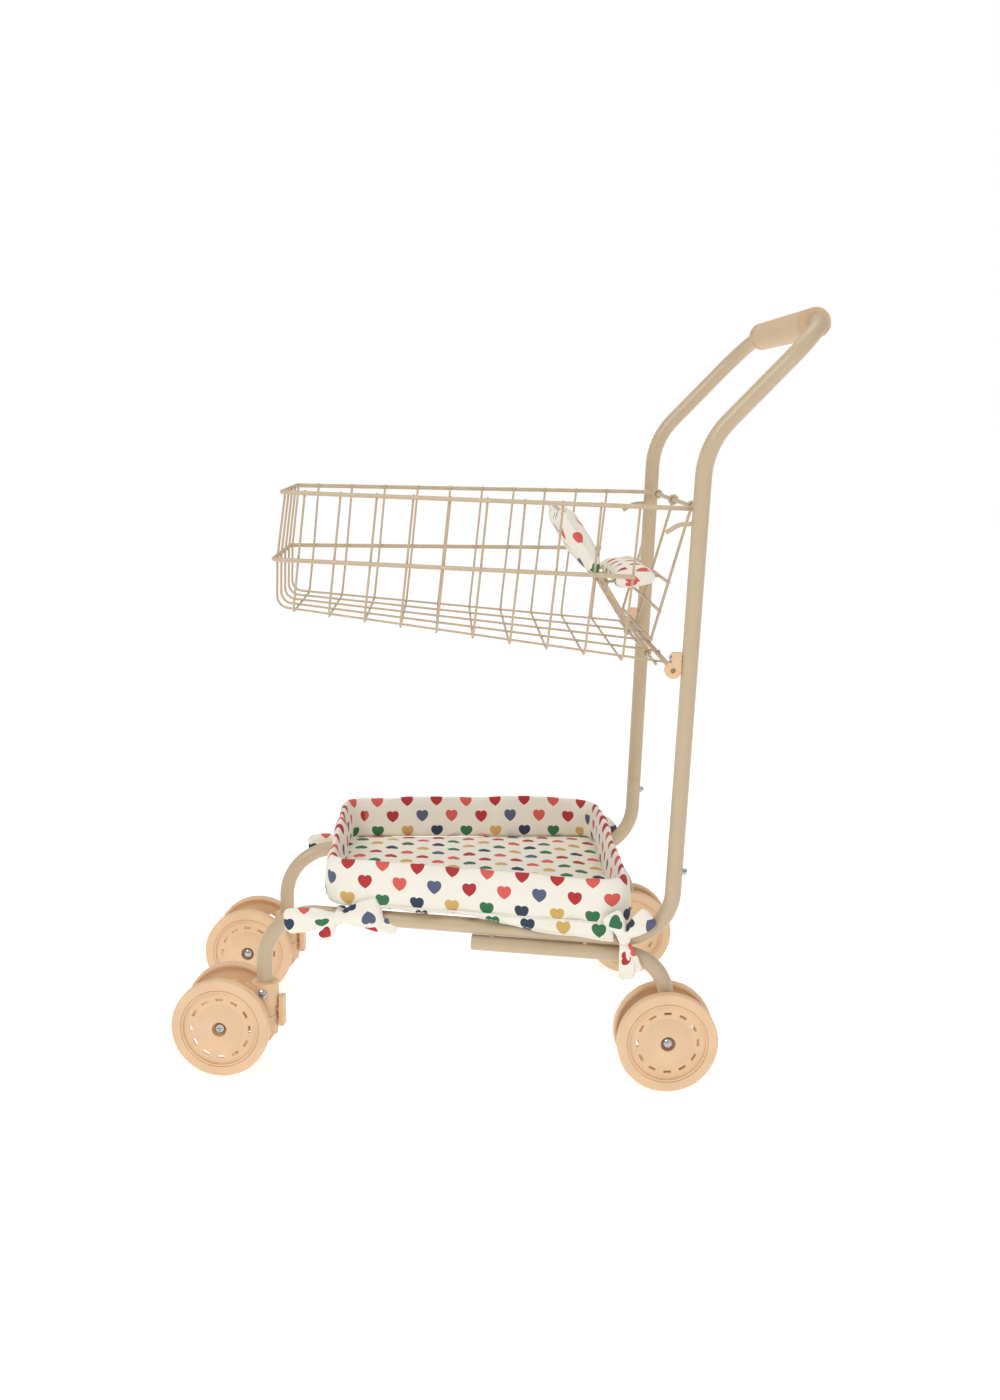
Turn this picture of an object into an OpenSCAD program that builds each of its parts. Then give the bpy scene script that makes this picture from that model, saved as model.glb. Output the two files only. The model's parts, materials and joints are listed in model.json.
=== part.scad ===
// Toy shopping cart: a bent tube frame on four pairs of twin wheels, with a wire
// basket, a folding doll seat with two pads, and a padded fabric tray tied below.
// X runs to the cart's left, Y to its rear and Z up. The origin is on the floor,
// midway between the two rear wheel pairs and under their axle.

/* [Tubes] */
// Outside diameter of every frame tube
tube_d = 12; // [11:0.2:14]
// Wall of every frame tube
tube_wall = 1; // [0.8:0.1:1.4]
// Height of the push handle's centre line
handle_z = 561; // [520:5:640]
// Distance of the handle's centre line behind the rear axle
handle_y = 104; // [80:1:130]
// Height of the bend between each upright and the handle
elbow_z = 475; // [455:5:500]
// Half the distance between the uprights at that bend
elbow_x = 148; // [140:1:160]
// Half the distance between the uprights at their plug joints
joint_x = 138; // [130:1:146]
// Height of the plug joints
joint_z = 175; // [165:5:200]
// Height of the side tubes at their rear bend
side_rear_z = 111.5; // [108:0.5:125]
// Height of the side tubes at their front bend
side_front_z = 125; // [118:0.5:135]
// Lean of the uprights, in millimetres to the rear for each millimetre up
upright_lean = 0.0487; // [0:0.005:0.09]
// Length of the plug inside each joint
plug_l = 26; // [20:1:34]

/* [Handle grip] */
// Outside diameter of the grip
grip_d = 22; // [18:1:30]
// Length of the grip
grip_l = 206; // [160:2:212]
// Number of ribs at each end of the grip
grip_ribs = 5; // [0:1:8]

/* [Wheels] */
// Diameter of each wheel disc
wheel_d = 75; // [66:1:80]
// Width of a disc's rim
rim_w = 8; // [6:0.5:10]
// Axle bolt diameter
axle_d = 5; // [4:0.5:6]
// Slots round each disc
slot_count = 12; // [8:1:16]
// Half the distance between the rear wheel pairs
rear_track_x = 134; // [128:1:138]
// Overall width of a rear wheel pair
rear_pair_w = 35; // [33:0.5:40]
// Overall width of a front wheel pair
front_pair_w = 50; // [47:0.5:56]

/* [Front casters] */
// Half the distance between the two swivel axes
caster_x = 90; // [84:1:104]
// Distance of the swivel axes in front of the rear axle
wheelbase = 302.5; // [270:2.5:340]
// Distance from the swivel axis to the wheels' axle
caster_arm = 30; // [28:1:36]
// Turn of both casters about their swivel axes
caster_turn = -7; // [-20:1:20]
// Height of the collar's top edge
collar_z = 68; // [62:1:74]

/* [Basket] */
// Thickness of the two rim wires
rim_d = 3.4; // [2.8:0.2:4]
// Thickness of the mesh wires
mesh_d = 1.8; // [1.4:0.2:2.2]
// Cross wires, each bent down both sides and under the floor
cross_count = 10; // [6:1:12]
// Wires that run down the front and along the floor
long_count = 5; // [3:2:7]
// Height of the top rim at the front
rim_front_z = 439; // [425:1:455]
// Drop of the top rim from front to rear
rim_drop = 9; // [0:1:14]
// Half width of the top rim at the front
rim_front_x = 65; // [55:1:80]
// Reach of the top rim in front of the rear axle
rim_reach = 284.5; // [250:2.5:310]
// Height between the two rims
rim_step = 49.7; // [40:1:56]
// How far the middle rim stands outside the top rim
rim_bulge = 8; // [4:1:10]
// Height of the floor's front edge
floor_front_z = 351; // [340:1:360]
// Height of the floor's rear edge
floor_rear_z = 316.4; // [308:1:326]

/* [Doll seat] */
// Thickness of the seat's wires
seat_wire_d = 2.2; // [1.8:0.2:2.6]
// Half width of the seat frames
seat_x = 66; // [64:0.5:69]
// Half width of the gate behind the seat
gate_x = 100; // [86:1:108]
// Lean of the seat back from upright
back_lean = 31.3; // [26:1:36]
// Length of the seat back
back_l = 124; // [112:1:130]
// Width of both pads
pad_w = 148; // [146:1:156]
// Thickness of both pads
pad_t = 12; // [9:0.5:13]

/* [Fabric tray] */
// Length of the tray
tray_l = 220; // [180:2:230]
// Height of its walls above the side tubes' centre lines
tray_h = 46; // [34:1:56]
// Thickness of its padded walls
tray_wall = 7; // [4:0.5:9]

/* [Clearances] */
// Radial clearance of a running fit
run_gap = 0.05; // [0.02:0.01:0.1]
// Clearance between pieces that lie close without touching
rest_gap = 0.3; // [0.2:0.05:0.5]
// Depth that a welded wire sinks into its neighbour
weld = 0.2; // [0.1:0.05:0.4]

/* [Hidden] */
$fn = 48;

steel_paint = [0.80, 0.73, 0.60];
peach_plastic = [0.93, 0.80, 0.65];
grip_colour = [0.86, 0.76, 0.63];
bright_steel = [0.75, 0.77, 0.80];
cream_fabric = [0.96, 0.95, 0.90];

tube_r = tube_d / 2;
bore_d = tube_d - 2 * tube_wall;
wheel_r = wheel_d / 2;
rim_r = rim_d / 2;
mesh_r = mesh_d / 2;
seat_r = seat_wire_d / 2;
past = 1;
lap = 0.3;
hair = 0.03;

// ---- bent rods and tubes -------------------------------------------------

function unit(v) = v / norm(v);
function turn_at(p, i) =
    acos(min(1, max(-1, unit(p[i] - p[i - 1]) * unit(p[i + 1] - p[i]))));
function trim_at(p, r, i) =
    i == 0 || i == len(p) - 1 ? 0 : r * tan(turn_at(p, i) / 2);
function flip(p) = [-p[0], p[1], p[2]];
function flip_all(pts) = [for (p = pts) flip(p)];

// A straight round bar from a to b.
module bar(a, b, d) {
    v = b - a;
    translate(a)
        rotate([0, acos(v[2] / norm(v)), atan2(v[1], v[0])])
            cylinder(h = norm(v), d = d);
}

// The round bend of radius r at b, on the way from a to c.
module bend(a, b, c, r, d) {
    u = unit(b - a);
    w = unit(c - b);
    n = unit(w - (w * u) * u);
    s = b - u * r * tan(acos(w * u) / 2);
    m = s + n * r;
    z = cross(-n, u);
    multmatrix([
        [-n[0], u[0], z[0], m[0]],
        [-n[1], u[1], z[1], m[1]],
        [-n[2], u[2], z[2], m[2]],
        [0, 0, 0, 1]
    ])
        rotate_extrude(angle = acos(w * u)) translate([r, 0]) circle(d = d);
}

// A straight length between two bends. It runs a little way into each bend and
// is finer by a hair, so that the two join without sharing a surface.
module length_of(a, b, d) {
    v = unit(b - a);
    bar(a - v * lap, b + v * lap, d - 2 * hair);
}

// A bar of diameter d through the points p, with bends of radius r.
module bent_rod(p, r, d) {
    last = len(p) - 1;
    for (i = [0:last - 1]) {
        v = unit(p[i + 1] - p[i]);
        length_of(p[i] + v * trim_at(p, r, i), p[i + 1] - v * trim_at(p, r, i + 1), d);
    }
    if (last > 1)
        for (i = [1:last - 1]) bend(p[i - 1], p[i], p[i + 1], r, d);
}

// The path p with both ends drawn out by e.
function drawn_out(p, e) = let (k = len(p) - 1) [
    for (i = [0:k])
        i == 0 ? p[0] - e * unit(p[1] - p[0])
        : i == k ? p[k] + e * unit(p[k] - p[k - 1])
        : p[i]
];

module bent_tube(p, r) {
    difference() {
        bent_rod(p, r, tube_d);
        bent_rod(drawn_out(p, past), r, bore_d);
    }
}

// Repeats its children on the cart's right side.
module both_sides() {
    children();
    mirror([1, 0, 0]) children();
}

// ---- tube frame ----------------------------------------------------------

joint_y = 5;
upright_splay = (elbow_x - joint_x) / (elbow_z - joint_z);
// Centre line of the left upright at height z.
function upright(z) = [
    joint_x + upright_splay * (z - joint_z),
    joint_y + upright_lean * (z - joint_z),
    z
];
elbow_bend_r = 60;
handle_bend_r = 38;
joint_p = upright(joint_z);
elbow_p = upright(elbow_z);
corner_p = [elbow_x, handle_y, handle_z];
plug_d = bore_d - 2 * run_gap;

handle_path = [joint_p, elbow_p, corner_p];

// The handle's round corner joins two planes, so each half is drawn with its
// own bends: the elbow first, then the corner into the crossbar.
module handle_line(d, e) {
    start = joint_p - e * unit(elbow_p - joint_p);
    top = unit(corner_p - elbow_p);
    elbow_trim = trim_at([start, elbow_p, corner_p], elbow_bend_r, 1);
    corner_path = [elbow_p, corner_p, [0, handle_y, handle_z]];
    corner_trim = trim_at(corner_path, handle_bend_r, 1);
    up = unit(elbow_p - start);
    both_sides() {
        length_of(start, elbow_p - up * elbow_trim, d);
        bend(start, elbow_p, corner_p, elbow_bend_r, d);
        length_of(elbow_p + top * elbow_trim, corner_p - top * corner_trim, d);
        bend(elbow_p, corner_p, [0, handle_y, handle_z], handle_bend_r, d);
    }
    length_of([corner_trim - elbow_x, handle_y, handle_z],
              [elbow_x - corner_trim, handle_y, handle_z], d);
}

button_d = 5;
button_drop = 10;
up_dir = unit(elbow_p - joint_p);
button_p = joint_p - button_drop * up_dir;

module button_hole(d, reach) {
    translate(button_p) rotate([-90, 0, 0]) translate([0, 0, 1])
        cylinder(h = reach, d = d);
}

module handle_tube() {
    plug_bore_d = plug_d - 2 * tube_wall;
    color(steel_paint) {
        difference() {
            union() {
                handle_line(tube_d, 0);
                both_sides()
                    bar(joint_p - plug_l * up_dir, joint_p + up_dir, plug_d);
            }
            handle_line(plug_bore_d, plug_l + past);
            both_sides() button_hole(button_d + 2 * run_gap, tube_d);
        }
    }
}

module handle_grip() {
    rib_pitch = 3;
    rib_depth = 0.5;
    color(grip_colour)
        translate([0, handle_y, handle_z]) rotate([0, 90, 0])
            difference() {
                cylinder(h = grip_l, d = grip_d, center = true);
                cylinder(h = grip_l + past, d = tube_d, center = true);
                for (s = [-1, 1], i = [1:1:grip_ribs])
                    translate([0, 0, s * (grip_l / 2 - i * rib_pitch)])
                        rotate_extrude()
                            translate([grip_d / 2 - rib_depth, -0.6])
                                square([past, 1.2]);
            }
}

side_bend_r = 38;
front_bend_r = 40;
tube_end_z = collar_z - 17;
side_rear_p = joint_p - up_dir * ((joint_z - side_rear_z) / up_dir[2]);
side_front_p = [caster_x, -wheelbase, side_front_z];
side_end_p = [caster_x, -wheelbase, tube_end_z];
// Centre line of the left side tube along its long run.
function side_run(y) =
    side_front_p + (side_rear_p - side_front_p)
        * ((y + wheelbase) / (side_rear_p[1] + wheelbase));

module side_line(d, e) {
    a = joint_p + e * unit(joint_p - side_rear_p);
    b = side_rear_p;
    c = side_front_p;
    z = side_end_p - [0, 0, e];
    run = unit(c - b);
    rear_trim = trim_at([a, b, c], side_bend_r, 1);
    front_trim = trim_at([b, c, z], front_bend_r, 1);
    length_of(a, b - unit(b - a) * rear_trim, d);
    bend(a, b, c, side_bend_r, d);
    length_of(b + run * rear_trim, c - run * front_trim, d);
    bend(b, c, z, front_bend_r, d);
    length_of(c - [0, 0, front_trim], z, d);
}

module side_tube() {
    color(steel_paint)
        difference() {
            side_line(tube_d, 0);
            side_line(bore_d, past);
            button_hole(button_d + 2 * run_gap, tube_d);
        }
}

leg_gap = 0.8;
leg_front_y = -144;
leg_bend_r = 32;
leg_drop = tube_d + leg_gap;
// A point below the side tube's run, where the leg's centre line lies.
function under_run(y) = side_run(y) - [0, 0, leg_drop];
axle_p = [rear_track_x, 0, wheel_r];
leg_front_p = under_run(leg_front_y);
leg_corner_p = [rear_track_x, 0, under_run(0)[2]];
leg_foot_p = [rear_track_x, 0, wheel_r - tube_r - 1];

module rear_leg() {
    color(steel_paint)
        difference() {
            bent_tube([leg_front_p, leg_corner_p, leg_foot_p], leg_bend_r);
            translate(axle_p) rotate([0, 90, 0])
                cylinder(h = 2 * tube_d, d = axle_d, center = true);
        }
}

peg_ys = [-129, -60];
module leg_weld_pegs() {
    peg_d = 4;
    sink = 0.5;
    color(steel_paint)
        both_sides()
            for (y = peg_ys)
                translate(side_run(y) - [0, 0, tube_r + leg_gap + sink])
                    cylinder(h = leg_gap + 2 * sink, d = peg_d);
}

// ---- plug joints ---------------------------------------------------------

button_stand = 3;
button_l = 9;
button_travel = 2.6;
module snap_button() {
    color(bright_steel)
        translate(button_p + [0, tube_r + button_stand, 0]) rotate([90, 0, 0]) {
            translate([0, 0, 1.5]) cylinder(h = button_l - 1.5, d = button_d);
            cylinder(h = 1.5, d1 = 3, d2 = button_d);
        }
}

module snap_springs() {
    leaf_t = 0.8;
    leaf_w = 3.6;
    leaf_l = 16;
    leaf_y = tube_r + button_stand - button_l - button_travel - leaf_t;
    color(bright_steel)
        both_sides()
            translate(button_p)
                translate([-leaf_w / 2, leaf_y, -leaf_l / 2])
                    cube([leaf_w, leaf_t, leaf_l]);
}

// ---- shelf and fabric tray -----------------------------------------------

shelf_wire_d = 4;
shelf_wire_rise = tube_r - shelf_wire_d / 2 - 0.1;
shelf_ys = [-228, -179, -106, -54];
module shelf_wires() {
    color(steel_paint)
        for (y = shelf_ys) {
            p = side_run(y) + [0, 0, shelf_wire_rise];
            reach = sqrt(pow(tube_r, 2) - pow(shelf_wire_rise, 2));
            x = p[0] - reach + 1;
            bar([-x, p[1], p[2]], [x, p[1], p[2]], shelf_wire_d);
        }
}

tray_front_y = -30 - tray_l;
tray_rear_y = -30;
run_tilt = atan2(side_front_z - side_rear_z, side_rear_p[1] + wheelbase);
board_t = 2;
board_rise = tube_r + 0.1;
// Half the tubes' spacing at y, measured from their centre lines.
function side_x(y) = side_run(y)[0];
// A plan outline along the tubes, set out by e, from y0 to y1.
function run_outline(e, y0, y1) = [
    [-side_x(y0) - e, y0], [side_x(y0) + e, y0],
    [side_x(y1) + e, y1], [-side_x(y1) - e, y1]
];
// Places its children on the plane of the side tubes' centre lines.
module on_run() {
    translate([0, 0, side_run(0)[2]]) rotate([-run_tilt, 0, 0]) children();
}

module shelf_board() {
    color(cream_fabric)
        on_run()
            translate([0, 0, board_rise])
                linear_extrude(board_t)
                    polygon(run_outline(-8.5, tray_front_y + 6, tray_rear_y - 6));
}

tray_out = tube_r + 1.8;
floor_t = 2.2;
tray_rise = board_rise + board_t + rest_gap;
module bed_tray() {
    skirt_t = 1.5;
    skirt_low = -4;
    color(cream_fabric)
        on_run() {
            difference() {
                translate([0, 0, tray_rise])
                    linear_extrude(tray_h - tray_rise)
                        polygon(run_outline(tray_out, tray_front_y, tray_rear_y));
                translate([0, 0, tray_rise + floor_t])
                    linear_extrude(tray_h)
                        polygon(run_outline(tray_out - tray_wall,
                                            tray_front_y + tray_wall,
                                            tray_rear_y - tray_wall));
            }
            both_sides()
                translate([0, 0, skirt_low])
                    linear_extrude(tray_rise - skirt_low + 1)
                        polygon([
                            [side_x(skirt_y0) + tray_out - skirt_t, skirt_y0],
                            [side_x(skirt_y0) + tray_out, skirt_y0],
                            [side_x(skirt_y1) + tray_out, skirt_y1],
                            [side_x(skirt_y1) + tray_out - skirt_t, skirt_y1]
                        ]);
        }
}
skirt_y0 = -200;
skirt_y1 = -50;

run_turn = atan2(side_rear_p[0] - side_front_p[0], side_rear_p[1] + wheelbase);
// A bow on a band round the left side tube at y. Its loops reach front and
// rear of the knot and its tails hang from it. The band is open below, where
// the rear leg lies.
module bow(y, loop_front, loop_rear, loop_rise, tail) {
    band_w = 10;
    band_t = 1.2;
    knot_r = 5;
    p = side_run(y);
    out = tray_out + rest_gap + knot_r;
    color(cream_fabric)
        translate(p) rotate([-run_tilt, 0, -run_turn]) {
            difference() {
                rotate([90, 0, 0])
                    difference() {
                        cylinder(h = band_w, r = tube_r + rest_gap + band_t, center = true);
                        cylinder(h = band_w + past, r = tube_r + rest_gap, center = true);
                    }
                translate([-tube_d, -band_w, -tube_d - 5])
                    cube([2 * tube_d, 2 * band_w, tube_d]);
            }
            translate([tube_r + rest_gap + 0.4, -knot_r, -4.5])
                cube([out - tube_r, 2 * knot_r, 9]);
            translate([out, 0, 0]) {
                hull($fn = 16) {
                    sphere(r = 3);
                    translate([0, -loop_front, loop_rise]) sphere(r = 3);
                    translate([0, -loop_front * 0.7, loop_rise + 6]) sphere(r = 3);
                    translate([0, -loop_front * 0.7, loop_rise - 6]) sphere(r = 3);
                }
                hull($fn = 16) {
                    sphere(r = 3);
                    translate([0, loop_rear, loop_rise]) sphere(r = 3);
                    translate([0, loop_rear * 0.7, loop_rise + 6]) sphere(r = 3);
                    translate([0, loop_rear * 0.7, loop_rise - 6]) sphere(r = 3);
                }
                hull($fn = 16) {
                    sphere(r = 2.5);
                    translate([0, -8, -tail]) sphere(r = 2);
                    translate([0, 2, -tail]) sphere(r = 2);
                }
            }
        }
}
front_bow_y = -243;
rear_bow_y = -38;
module front_bow() { bow(front_bow_y, 36, 28, 2, 16); }
module rear_bow() { bow(rear_bow_y, 14, 22, 16, 32); }

// ---- basket --------------------------------------------------------------

rear_wire_z = rim_front_z - rim_drop;
rear_wire_y = upright(rear_wire_z)[1];
// The rim's outer side sinks a weld's depth into the uprights.
rim_rear_x = upright(rear_wire_z)[0] - tube_r - rim_r + weld;
function rim_share(y) = (y + rim_reach) / (rear_wire_y + rim_reach);
// Centre line of the top rim's left side at y.
function top_rim(y) = [
    rim_front_x + (rim_rear_x - rim_front_x) * rim_share(y),
    y,
    rim_front_z - rim_drop * rim_share(y)
];
mid_front_y = -rim_reach - 6.8;
function mid_rim(y) = top_rim(y) + [rim_bulge, 0, -rim_step];
// Height of the cross wires' centre lines along the floor.
function floor_z(y) =
    floor_rear_z + (floor_front_z - floor_rear_z) * (-y / rim_reach);
// Distance between the centre lines of a rim and a mesh wire welded inside it.
inset = rim_r + mesh_r - weld;
wire_lean = 0.11;
cross_first_y = -rim_reach + 17.8;
cross_last_y = -23;
cross_pitch = (cross_last_y - cross_first_y) / (cross_count - 1);

module basket_top_rim() {
    corner = 8;
    rear = [0, rear_wire_y, rear_wire_z];
    rl = top_rim(rear_wire_y);
    fl = top_rim(-rim_reach);
    color(steel_paint)
        bent_rod([rear, rl, fl, flip(fl), flip(rl), rear], corner, rim_d);
}

module basket_mid_rim() {
    corner = 9;
    rear_y = cross_last_y - wire_lean * rim_step + mesh_r;
    rl = mid_rim(rear_y);
    fl = [mid_rim(mid_front_y)[0], mid_front_y, mid_rim(mid_front_y)[2]];
    color(steel_paint) bent_rod([rl, fl, flip(fl), flip(rl)], corner, rim_d);
}

// One cross wire: down the left side, under the floor and up the right side.
module cross_wire(y) {
    top = top_rim(y) + [-inset, 0, rim_r];
    mid_y = y - wire_lean * rim_step;
    mid = mid_rim(mid_y) - [inset, 0, 0];
    low_y = y - wire_lean * (top[2] - floor_z(y));
    low = [mid[0], low_y, floor_z(low_y)];
    bent_rod([top, mid, low, flip(low), flip(mid), flip(top)], 8, mesh_d);
}

module basket_cross_wires() {
    color(steel_paint)
        for (i = [0:cross_count - 1]) cross_wire(cross_first_y + i * cross_pitch);
}

rod_d = 4;
rod_y = upright(floor_rear_z)[1] - tube_r - 6;
long_rise = 2 * mesh_r - weld;
rod_z = floor_z(rod_y) + long_rise - mesh_r - rod_d / 2 + weld;

module basket_long_wires() {
    front_y = mid_front_y + inset;
    share = 0.86;
    color(steel_paint)
        for (i = [0:long_count - 1]) {
            k = (2 * i / (long_count - 1) - 1) * share;
            xf = k * mid_rim(mid_front_y)[0];
            xr = k * mid_rim(rod_y)[0];
            bent_rod([
                [k * rim_front_x, -rim_reach + inset, rim_front_z + rim_r],
                [xf, front_y, mid_rim(mid_front_y)[2]],
                [xf, front_y - 1, floor_z(front_y - 1) + long_rise],
                [xr, rod_y + 1, floor_z(rod_y + 1) + long_rise]
            ], 9, mesh_d);
        }
}

clip_t = 5;
clip_r = 6;
clip_x = upright(rod_z)[0];
module basket_rear_rod() {
    color(steel_paint)
        bar([-clip_x, rod_y, rod_z], [clip_x, rod_y, rod_z], rod_d);
}

pivot_y = -10;
pivot_d = 2.4;
pivot_z = floor_z(pivot_y) + long_rise - mesh_r - pivot_d / 2 + weld;
module basket_pivot_wire() {
    x = mid_rim(pivot_y)[0] * 0.86 + 3;
    color(steel_paint)
        bar([-x, pivot_y, pivot_z], [x, pivot_y, pivot_z], pivot_d);
}

clip_screw_d = 3;
clip_screw_z = rod_z + 9;
module basket_clips() {
    u = upright(clip_screw_z);
    color(peach_plastic)
        both_sides()
            difference() {
                union() {
                    translate([clip_x - clip_t / 2, rod_y, rod_z]) rotate([0, 90, 0])
                        cylinder(h = clip_t, r = clip_r);
                    translate([clip_x - clip_t / 2, rod_y - 1, rod_z])
                        cube([clip_t, 7, 13]);
                }
                translate([clip_x - clip_t, rod_y, rod_z]) rotate([0, 90, 0])
                    cylinder(h = 2 * clip_t, d = rod_d);
                bar(upright(rod_z - 20), upright(rod_z + 30), tube_d);
                translate([u[0], rod_y - 8, u[2]]) rotate([-90, 0, 0])
                    cylinder(h = 20, d = clip_screw_d);
            }
}

module clip_screws() {
    u = upright(clip_screw_z);
    head_r = 2.6;
    color(bright_steel)
        both_sides()
            translate([u[0], rod_y - 1 - 1.6, u[2]]) rotate([-90, 0, 0]) {
                cylinder(h = 1.6, r = head_r);
                cylinder(h = u[1] - tube_r - rod_y + 2.6 + 0.4, d = clip_screw_d);
            }
}

hook_z = 420;
module bag_hooks() {
    u = upright(hook_z);
    base = u - [0, tube_r - weld, 0];
    color(steel_paint)
        both_sides()
            bent_rod([base, base - [0, 9, 0.5], base - [0, 18, 6]], 14, rim_d);
}

// ---- doll seat -----------------------------------------------------------

// Points in the seat's side view are [y, z]; at(x, p) puts one at width x.
function at(x, p) = [x, p[0], p[1]];
pivot_p = [pivot_y, pivot_z];
hinge_p = [rear_wire_y, rear_wire_z];
loop_gap = 0.12;
cross_bar_d = seat_wire_d + 0.3;
ring_d = seat_wire_d + 0.2;

// A ring of seat wire round a cross wire of diameter d at point p.
module ring(x, p, d) {
    translate(at(x, p)) rotate([0, 90, 0])
        rotate_extrude()
            translate([d / 2 + loop_gap + ring_d / 2, 0]) circle(d = ring_d);
}

gate_low_p = [-11, 332];
gate_dir = (gate_low_p - hinge_p) / norm(gate_low_p - hinge_p);
gate_l = norm(gate_low_p - hinge_p);
// A point of the gate at distance s below its hinge.
function gate_at(s) = hinge_p + s * gate_dir;
gate_ring = rim_r + loop_gap + ring_d / 2;
gate_seat_s = 58;
gate_low_s = 80;

module seat_gate() {
    color(steel_paint) {
        for (x = [-gate_x, 0, gate_x]) {
            ring(x, hinge_p, rim_d);
            bar(at(x, gate_at(gate_ring)), at(x, gate_at(gate_l)), seat_wire_d);
        }
        for (s = [gate_seat_s, gate_low_s, gate_l])
            bar(at(-gate_x - 2, gate_at(s)), at(gate_x + 2, gate_at(s)), cross_bar_d);
    }
}

back_dir = [-sin(back_lean), cos(back_lean)];
// A point of the seat back at distance s above its pivot.
function back_at(s) = pivot_p + s * back_dir;
back_ring = pivot_d / 2 + loop_gap + ring_d / 2;
back_low_s = 18;
back_base_s = 62;
module seat_back_frame() {
    color(steel_paint) {
        for (x = [-seat_x, seat_x]) {
            ring(x, pivot_p, pivot_d);
            bar(at(x, back_at(back_ring)), at(x, back_at(back_l)), seat_wire_d);
        }
        for (x = [-seat_x / 3, seat_x / 3])
            bar(at(x, back_at(back_low_s)), at(x, back_at(back_l)), seat_wire_d);
        for (s = [back_low_s, back_base_s, back_l])
            bar(at(-seat_x - 2, back_at(s)), at(seat_x + 2, back_at(s)), cross_bar_d);
    }
}

base_front_p = back_at(back_base_s);
base_rear_gap = 1;
base_rear_p = gate_at(gate_seat_s - 1) - [2 * seat_r + base_rear_gap, 0];
base_vec = base_rear_p - base_front_p;
base_l = norm(base_vec);
base_dir = base_vec / base_l;
base_xs = [-seat_x + 10, -14, 14, seat_x - 10];
base_ring = cross_bar_d / 2 + loop_gap + ring_d / 2;
// A point of the seat base at distance s behind its hinge on the seat back.
function base_at(s) = base_front_p + s * base_dir;
module seat_base_frame() {
    side = seat_x - 10;
    color(steel_paint) {
        for (x = base_xs) {
            ring(x, base_front_p, cross_bar_d);
            bar(at(x, base_at(base_ring)), at(x, base_at(base_l)), seat_wire_d);
        }
        bar(at(-side - 2, base_at(base_l)), at(side + 2, base_at(base_l)), cross_bar_d);
    }
}

// A flat pad with a slot of half width half_slot for the wires inside. It runs
// from s0 to s1 along a direction turned by angle a from +Y, and the slot ends
// a little before s1 + slot_end.
module pad(p, a, s0, s1, half_slot, slot_end) {
    slot = cross_bar_d + 2 * rest_gap;
    round_r = pad_t / 2 - 0.01;
    translate([0, p[0], p[1]]) rotate([a, 0, 0])
        difference() {
            rotate([90, 0, 90])
                linear_extrude(pad_w, center = true)
                    hull() {
                        translate([s0 + round_r, 0]) circle(r = round_r);
                        translate([s1 - round_r, 0]) circle(r = round_r);
                    }
            translate([-half_slot, s0 - past, -slot / 2])
                cube([2 * half_slot, s1 - s0 + past + slot_end, slot]);
        }
}
module back_cushion() {
    color(cream_fabric)
        pad(pivot_p, 90 + back_lean, back_base_s + 7, back_l + 4,
            seat_x + 2 + rest_gap, -2);
}
module seat_cushion() {
    angle = atan2(base_dir[1], base_dir[0]);
    color(cream_fabric)
        pad(base_front_p, angle, 8, base_l - 3, seat_x - 7, past);
}

// ---- wheels --------------------------------------------------------------

disc_wall = 1.8;
plate_in = 1.6;
dome_r = wheel_r * 0.5;
dome_h = 3.2;
dome_ball_r = (pow(dome_r, 2) + pow(dome_h, 2)) / (2 * dome_h);
well_r = 5.6;
well_depth = 3.4;
hub_r = 6;
groove_r = wheel_r * 0.79;

// One disc with its bore along Z. Its outer face is at z = 0 and its hub
// reaches down to z = -hub_l.
module disc(hub_l) {
    plate_r = wheel_r * 0.76;
    inner_r = wheel_r - 2.2;
    slot_r = wheel_r * 0.6;
    difference() {
        union() {
            difference() {
                rotate_extrude() polygon([
                    [0, 0], [wheel_r - 0.8, 0], [wheel_r, -0.8],
                    [wheel_r, -rim_w + 0.8], [wheel_r - 0.8, -rim_w], [0, -rim_w]
                ]);
                translate([0, 0, -plate_in]) cylinder(h = past + plate_in, r = plate_r);
                translate([0, 0, -rim_w - past])
                    difference() {
                        cylinder(h = rim_w + past - plate_in - disc_wall, r = inner_r);
                        translate([0, 0, -past])
                            cylinder(h = rim_w + 3 * past, r = hub_r);
                    }
                translate([0, 0, -0.6])
                    difference() {
                        cylinder(h = past, r = groove_r + 0.7);
                        translate([0, 0, -past]) cylinder(h = 3 * past, r = groove_r);
                    }
            }
            intersection() {
                translate([0, 0, dome_h - plate_in - dome_ball_r]) sphere(r = dome_ball_r);
                translate([0, 0, -plate_in - 0.5]) cylinder(h = dome_h + past, r = dome_r);
            }
            translate([0, 0, -hub_l]) cylinder(h = hub_l - plate_in, r = hub_r);
        }
        translate([0, 0, -well_depth]) cylinder(h = 10, r = well_r);
        translate([0, 0, -hub_l - past])
            cylinder(h = hub_l + 10, r = axle_d / 2 + run_gap);
        for (i = [0:slot_count - 1])
            rotate([0, 0, i * 360 / slot_count])
                translate([slot_r - 1, -2.8, -rim_w]) cube([2, 5.6, rim_w + past]);
    }
}

// ---- rear wheel pairs ----------------------------------------------------

rear_hub_l = rear_pair_w / 2 - tube_r - rest_gap;
module rear_outer() {
    translate(axle_p + [rear_pair_w / 2, 0, 0]) rotate([0, 90, 0]) disc(rear_hub_l);
}
module rear_inner() {
    translate(axle_p - [rear_pair_w / 2, 0, 0]) rotate([0, -90, 0]) disc(rear_hub_l);
}

nut_h = 3.6;
nut_r = 3.9;
head_h = 2;
// Distance from a pair's middle to the floor of a disc's well.
function seat_of(pair_w) = pair_w / 2 - well_depth;

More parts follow.
